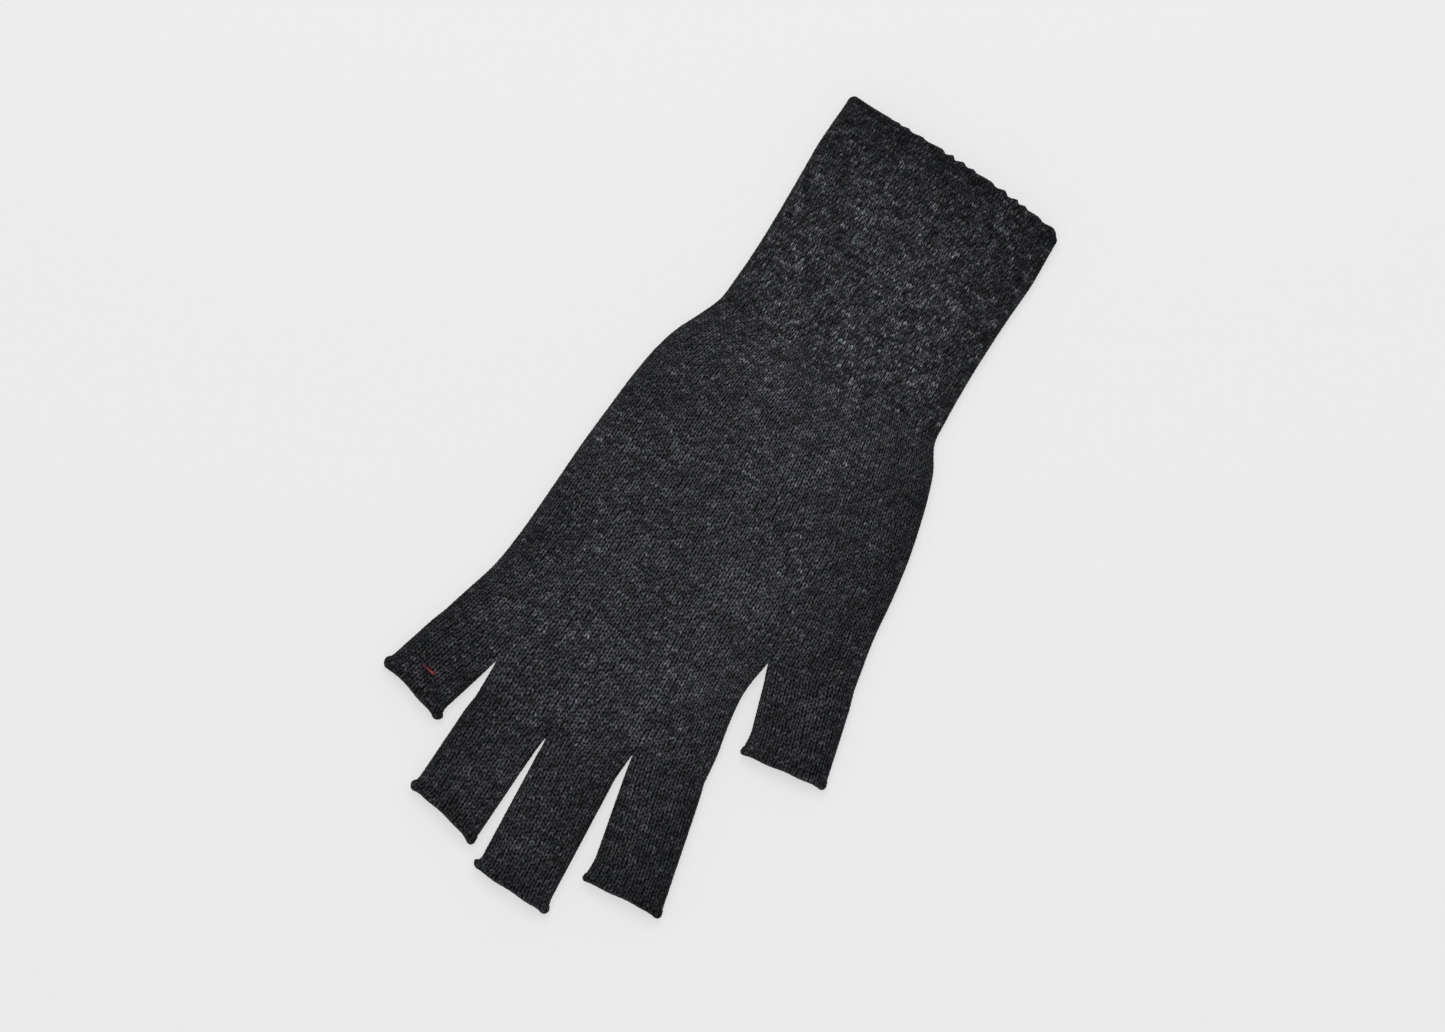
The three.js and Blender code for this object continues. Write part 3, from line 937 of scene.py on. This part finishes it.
def corner_reach(corners, share, half_width):
    """How far forward the edge lies because of its left and right corners."""
    total = 0
    for corner, distance in zip(corners, ((1 + share) * half_width, (1 - share) * half_width)):
        rounding = np.clip(corner.radius - distance, 0, corner.radius)
        drop = corner.radius - np.sqrt(corner.radius**2 - rounding**2)
        total = total + corner.forward * np.exp(-((distance / corner.width) ** 2)) - drop
    return total


def hem(finger):
    t = TUBES[finger.name]

    def reach(u, share, half_width):
        bow = HEM_BOW[finger.name] * (1 + HEM_LEAN * share) + HEM_RIPPLE * np.sin(1.1 * u + t.offset)
        return bow * (1 - share**2) + corner_reach(HEM_CORNERS[finger.name], share, half_width)

    along = np.array([*finger.along, 0.0])
    return cloth_end(finger.name + "_hem_roll", t, t.last, HEM, along, reach, HEM_SWELL)


def welt():
    """The cuff's bound-off edge, with shallow scallops that fade out towards the little finger's side."""
    def reach(u, share, half_width):
        phase = (u / SCALLOP_WALES + 0.25 * np.sin(0.37 * u + 1) + 0.08 * np.sin(0.9 * u)) % 1
        saw = smooth(np.where(phase < SCALLOP_RISE, phase / SCALLOP_RISE, (1 - phase) / (1 - SCALLOP_RISE)))
        depth = SCALLOP * (0.7 + 0.3 * np.sin(0.41 * u + 2)) * smooth((share + 0.75) / 0.5)
        slant = WELT_SLANT * share * (1 - share**2)
        return depth * (saw - 0.6) + slant + corner_reach(CUFF_CORNERS, share, half_width)

    arm = TUBES["arm"]
    return cloth_end("cuff_welt_edge", arm, arm.first, WELT, np.array([0.0, 1.0, 0.0]), reach, WELT_SWELL)


# ---- Materials ----

def node(tree, kind, **values):
    """A new node. Each value goes to the input of that name, or else to the node's own property."""
    made = tree.nodes.new(kind)
    for key, value in values.items():
        if key in made.inputs:
            made.inputs[key].default_value = value
        else:
            setattr(made, key, value)
    return made


def maths(tree, operation, a, b, clamp=False):
    made = tree.nodes.new("ShaderNodeMath")
    made.operation, made.use_clamp = operation, clamp
    for socket, value in zip(made.inputs, (a, b)):
        if isinstance(value, (int, float)):
            socket.default_value = value
        else:
            tree.links.new(value, socket)
    return made.outputs[0]


def about_zero(tree, value, gain):
    """A value from 0 to 1, moved to lie about 0 and multiplied."""
    return maths(tree, "MULTIPLY", maths(tree, "SUBTRACT", value, 0.5), gain)


def ramp(tree, factor, stops):
    made = tree.nodes.new("ShaderNodeValToRGB")
    tree.links.new(factor, made.inputs[0])
    elements = made.color_ramp.elements
    while len(elements) < len(stops):
        elements.new(0.5)
    for element, (position, colour) in zip(elements, stops):
        element.position, element.color = position, (*colour, 1)
    return made.outputs[0]


def multiplied(tree, a, b):
    """One colour multiplied by another."""
    made = node(tree, "ShaderNodeMix", data_type="RGBA", blend_type="MULTIPLY")
    made.inputs[0].default_value = 1.0
    tree.links.new(a, made.inputs[6])
    tree.links.new(b, made.inputs[7])
    return made.outputs[2]


def noise(tree, scale, detail, rough=0.5):
    """Noise that stays in its place on the object."""
    made = node(tree, "ShaderNodeTexNoise", Scale=scale, Detail=detail, Roughness=rough)
    place = tree.nodes.get("place") or node(tree, "ShaderNodeTexCoord", name="place")
    tree.links.new(place.outputs["Object"], made.inputs["Vector"])
    return made.outputs["Fac"]


def new_material(name):
    material = bpy.data.materials.new(name)
    material.use_nodes = True
    return material, material.node_tree, material.node_tree.nodes["Principled BSDF"]


def attribute(tree, name, output="Fac"):
    return node(tree, "ShaderNodeAttribute", attribute_name=name).outputs[output]


def finish_surface(tree, shader, colour, fibres, roughness, varies, bump, depth):
    """Wires up a shader's colour, and its roughness and bump from the fibres."""
    rough = maths(tree, "ADD", maths(tree, "MULTIPLY", fibres, varies), roughness)
    tree.links.new(colour, shader.inputs["Base Color"])
    tree.links.new(rough, shader.inputs["Roughness"])
    bumps = node(tree, "ShaderNodeBump", Strength=bump, Distance=depth)
    tree.links.new(fibres, bumps.inputs["Height"])
    tree.links.new(bumps.outputs[0], shader.inputs["Normal"])


TONE_GAIN, TONE_MIDDLE = 0.105, 0.47
HEATHER = [  # from the darkest yarn to the lightest
    (0.0, (0.006, 0.006, 0.0066)), (0.3, (0.013, 0.013, 0.0142)), (0.55, (0.026, 0.026, 0.0285)),
    (0.8, (0.058, 0.058, 0.062)), (1.0, (0.125, 0.125, 0.13)),
]
CAST = [(0.3, (0.86, 1.0, 0.96)), (0.5, (1.0, 1.0, 1.0)), (0.7, (0.97, 0.93, 1.1))]
GROOVE_SHADE_CREST_LIGHT = [(0.0, [0.05] * 3), (0.35, [0.62] * 3), (0.65, [2.35] * 3), (1.0, [3.2] * 3)]  # painted shade in the grooves and painted light on the crests, by stitch height


def wool(name, bright=1.0):
    """Heathered wool: each stitch has its own tone, painted shade darkens the grooves and the outline, painted
    light the crests, and fine fibres cross it all.
    """
    material, tree, shader = new_material(name)
    fibres = noise(tree, 2600, 3, 0.65)
    value = maths(tree, "MULTIPLY", attribute(tree, "tone"), TONE_GAIN)
    for part, gain in ((fibres, 0.4), (noise(tree, 1150, 2, 0.55), 0.9), (noise(tree, 55, 2), 0.2)):
        value = maths(tree, "ADD", value, about_zero(tree, part, gain))
    value = maths(tree, "ADD", value, TONE_MIDDLE, clamp=True)
    colour = ramp(tree, value, [(position, [c * bright for c in yarn]) for position, yarn in HEATHER])
    colour = multiplied(tree, colour, ramp(tree, noise(tree, 420, 1), CAST))
    # painted shade in the grooves between the stitches, and painted light on their crests
    colour = multiplied(tree, colour, ramp(tree, attribute(tree, "height"), GROOVE_SHADE_CREST_LIGHT))
    # painted shade near the outline and towards the ends, with a little painted light from the wrist on
    colour = multiplied(tree, colour, attribute(tree, "shade", "Color"))
    finish_surface(tree, shader, colour, fibres, roughness=0.78, varies=0.2, bump=0.6, depth=0.00012)
    shader.inputs["Specular IOR Level"].default_value = 0.08
    shader.inputs["Sheen Weight"].default_value = 0.02
    shader.inputs["Sheen Roughness"].default_value = 0.5
    shader.inputs["Sheen Tint"].default_value = (0.6, 0.6, 0.64, 1)
    return material


REDS = [(0.0, (0.06, 0.005, 0.03)), (0.55, (0.17, 0.01, 0.022)), (1.0, (0.38, 0.042, 0.042))]


def thread_material():
    """Red thread, from dark magenta at its first end to brighter red at its last."""
    material, tree, shader = new_material("marker_thread")
    strands = noise(tree, 5000, 2)
    value = maths(tree, "ADD", attribute(tree, "tone"), about_zero(tree, strands, 0.5), clamp=True)
    colour = ramp(tree, value, REDS)
    finish_surface(tree, shader, colour, strands, roughness=0.4, varies=0.3, bump=0.5, depth=0.0001)
    return material


knit_wool = wool("heathered_knit")
edge_wool = wool("heathered_edge", bright=0.95)
yarn_wool = wool("heathered_yarn", bright=1.2)
red_thread = thread_material()


# ---- The glove ----

def dress(obj, slot, *nodes):
    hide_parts(*nodes)
    return obj


palm_knit = knit_piece("palm_knit", "palm", [
    ("arm", 0, True), ("thumb", PALM_START, False), ("little", PAIR_START, False), ("index", PAIR_START, False),
    ("ring", PAIR_END, False), ("middle", PAIR_END, False),
])
dress(palm_knit, "knit", "palm_sleeve")
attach(palm_knit, "palm")

cuff_knit = knit_piece("cuff_knit", "cuff", [("arm", -CUFF_ROWS, True), ("arm", 0, False)])
dress(cuff_knit, "knit", "wrist_bend", "cuff_sleeve")
cuff_edge = welt()
dress(cuff_edge, "knit_edge", "cuff_welt")
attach(cuff_edge, "cuff")
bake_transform(cuff_knit)

for name, finger in FINGERS.items():
    t = TUBES[name]
    sleeve = knit_piece(name + "_knit", name, [(name, t.first, True), (name, t.last, False)])
    dress(sleeve, "knit", name + "_root", name + "_sleeve")
    roll = hem(finger)
    dress(roll, "knit_edge", name + "_hem")
    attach(roll, name)
    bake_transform(sleeve)


def twisted_yarn(name, path, radius, turns, material, tone):
    """Two plies wound round a path, each a strand with closed ends. tone is a function of 0 to 1 along it."""
    path = np.array(path, float)
    ahead = np.gradient(path, axis=0)
    ahead /= np.linalg.norm(ahead, axis=1, keepdims=True)
    side = np.cross(ahead, [0, 0, 1.0])
    side /= np.maximum(np.linalg.norm(side, axis=1, keepdims=True), 1e-6)
    up = np.cross(side, ahead)
    count, sides = len(path), 8
    share = np.linspace(0, 1, count)
    around = (np.arange(sides) / sides * 2 * math.pi)[None, :, None]
    ply_radius = radius * 0.56 * np.minimum(1, 0.55 + 3 * np.minimum(share, 1 - share))
    points, faces, caps, tones = [], [], [], []
    for ply in (0, 1):
        wind = share[:, None] * turns * 2 * math.pi + ply * math.pi
        centre = path + (side * np.cos(wind) + up * np.sin(wind)) * radius * 0.48
        strand = centre[:, None] + ply_radius[:, None, None] * (
            side[:, None] * np.cos(around) + up[:, None] * np.sin(around)
        )
        grid = ply * count * sides + np.arange(count * sides).reshape(count, sides)
        beside = np.roll(grid, -1, 1)
        faces.append(np.stack([grid[:-1], beside[:-1], beside[1:], grid[1:]], -1).reshape(-1, 4))
        caps.append(np.stack([grid[0, ::-1], grid[-1]]))
        points.append(strand.reshape(-1, 3))
        tones.append(np.repeat(tone(share), sides))
    total = 2 * count * sides
    # the yarns get no painted shade: all ones
    attributes = {"tone": np.concatenate(tones), "height": np.full(total, 0.8), "shade": np.ones(total)}
    return mesh_object(name, np.concatenate(points), [*faces, *caps], None, attributes, material)


KNOT_RADIUS, KNOT_START, KNOT_SIZE = 1.1, 0.35, [0.3, 0.3, 0.45]
TAIL_RADIUS, TAIL_TWISTS = 0.42, 14
TAIL_SNAKE, TAIL_LIFT = 0.45, 0.5  # how far the end winds aside, and lies above the bottom of its node


def tail_tone(share):
    return 0.6 * np.sin(9 * share)


def tail(name):
    """A trefoil knot at a crotch, with a short end of yarn lying on the inside of the lower layer."""
    low, high = node_corners(name)
    points = node_points(name)
    heap = points[points[:, 2] > high[2] - 0.5]
    knot = heap.mean(0) * [1, 1, 0] + [0, 0, high[2] - KNOT_RADIUS]
    far = points[np.argmax(np.linalg.norm((points - knot)[:, :2], axis=1))]
    yarn_height = low[2] + TAIL_LIFT
    loop = np.linspace(KNOT_START, 2 * math.pi, 60)
    trefoil = np.stack([
        np.sin(loop) + 2 * np.sin(2 * loop), np.cos(loop) - 2 * np.cos(2 * loop), -np.sin(3 * loop),
    ], -1) * KNOT_SIZE + knot
    run = np.linspace(0, 1, 40)[1:]
    last = trefoil[-1]
    line = last + (np.array([far[0], far[1], yarn_height]) - last) * run[:, None]
    line[:, 2] = last[2] + (yarn_height - last[2]) * smooth(run * 3)
    line[:, 0] += TAIL_SNAKE * np.sin(run * 2 * math.pi)
    path = np.concatenate([trefoil, line])
    yarn = twisted_yarn(name + "_yarn", path, TAIL_RADIUS, TAIL_TWISTS, yarn_wool, tail_tone)
    dress(yarn, "yarn", name)
    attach(yarn, "palm")


MARKER_RADIUS, MARKER_TWISTS, MARKER_SLANT = 0.44, 3.5, 0.25
MARKER_DIP, MARKER_RISE = 0.75, 0.95  # how far below the surface its ends lie, and how far it rises from that


def marker():
    """The coloured stitch: a thread that comes up through the little finger's fabric and goes down again."""
    low, high = node_corners("marker_stitch")
    s = np.linspace(0, 1, 40)
    x = low[0] + (high[0] - low[0]) * s
    y = (low[1] + high[1]) / 2 + MARKER_SLANT * (1 - 2 * s)
    z = layer_heights(x, y)[0] - MARKER_DIP + MARKER_RISE * np.maximum(np.sin(math.pi * s), 0) ** 0.45
    path = np.stack([x, y, z], -1)
    thread = twisted_yarn("marker_thread", path, MARKER_RADIUS, MARKER_TWISTS, red_thread, smooth)
    dress(thread, "red_thread", "marker_stitch")
    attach(thread, "little")


for name in ("thumb_index_tail", "index_middle_tail", "middle_ring_tail", "ring_little_tail"):
    tail(name)
marker()


# ---- Stage, light and camera ----

FLOOR_REACH, FLOOR_Z = 3.0, -0.0001
FLOOR_GREY, FLOOR_GLOW = 0.25, 0.58  # the floor glows, for the photo's even background
LAMP_PLACE, LAMP_POWER, LAMP_SIZE, SKY_STRENGTH = Vector((-0.35, 0.5, 1.5)), 14.0, 1.2, 0.6
LENS, SENSOR, VIEW_TURN = 100.0, 36.0, math.radians(34)
VIEW_CENTRE, VIEW_WIDTH = (-0.0056, 0.00044), 0.4624  # at the top of the glove


def stage():
    mesh = bpy.data.meshes.new("table")
    corners = [(x * FLOOR_REACH, y * FLOOR_REACH, FLOOR_Z) for x, y in ((-1, -1), (1, -1), (1, 1), (-1, 1))]
    mesh.from_pydata(corners, [], [(0, 1, 2, 3)])
    material, _, shader = new_material("table")
    shader.inputs["Base Color"].default_value = (FLOOR_GREY, FLOOR_GREY, FLOOR_GREY, 1)
    shader.inputs["Emission Color"].default_value = (1, 1, 1, 1)
    shader.inputs["Emission Strength"].default_value = FLOOR_GLOW
    shader.inputs["Roughness"].default_value = 1.0
    shader.inputs["Specular IOR Level"].default_value = 0.0
    mesh.materials.append(material)
    linked("table", mesh)


def lights():
    """An even sky and one soft lamp overhead."""
    world = bpy.data.worlds.new("studio")
    world.use_nodes = True
    background = world.node_tree.nodes["Background"]
    background.inputs["Color"].default_value = (1, 1, 1, 1)
    background.inputs["Strength"].default_value = SKY_STRENGTH
    bpy.context.scene.world = world
    data = bpy.data.lights.new("overhead", "AREA")
    data.shape, data.size, data.energy = "DISK", LAMP_SIZE, LAMP_POWER
    lamp = linked("overhead", data)
    lamp.location = LAMP_PLACE
    lamp.rotation_euler = (-LAMP_PLACE).to_track_quat("-Z", "Y").to_euler()


def camera():
    """Straight above the glove with a long lens, turned so that the glove lies aslant in the frame."""
    data = bpy.data.cameras.new("camera")
    data.lens, data.sensor_width = LENS, SENSOR
    made = linked("camera", data)
    made.location = (*VIEW_CENTRE, CAD_BOX[1].z + VIEW_WIDTH * LENS / SENSOR)
    made.rotation_euler = (0, 0, VIEW_TURN)
    bpy.context.scene.camera = made


stage()
lights()
camera()
bpy.context.scene.view_settings.view_transform = "Standard"

bpy.context.view_layer.update()
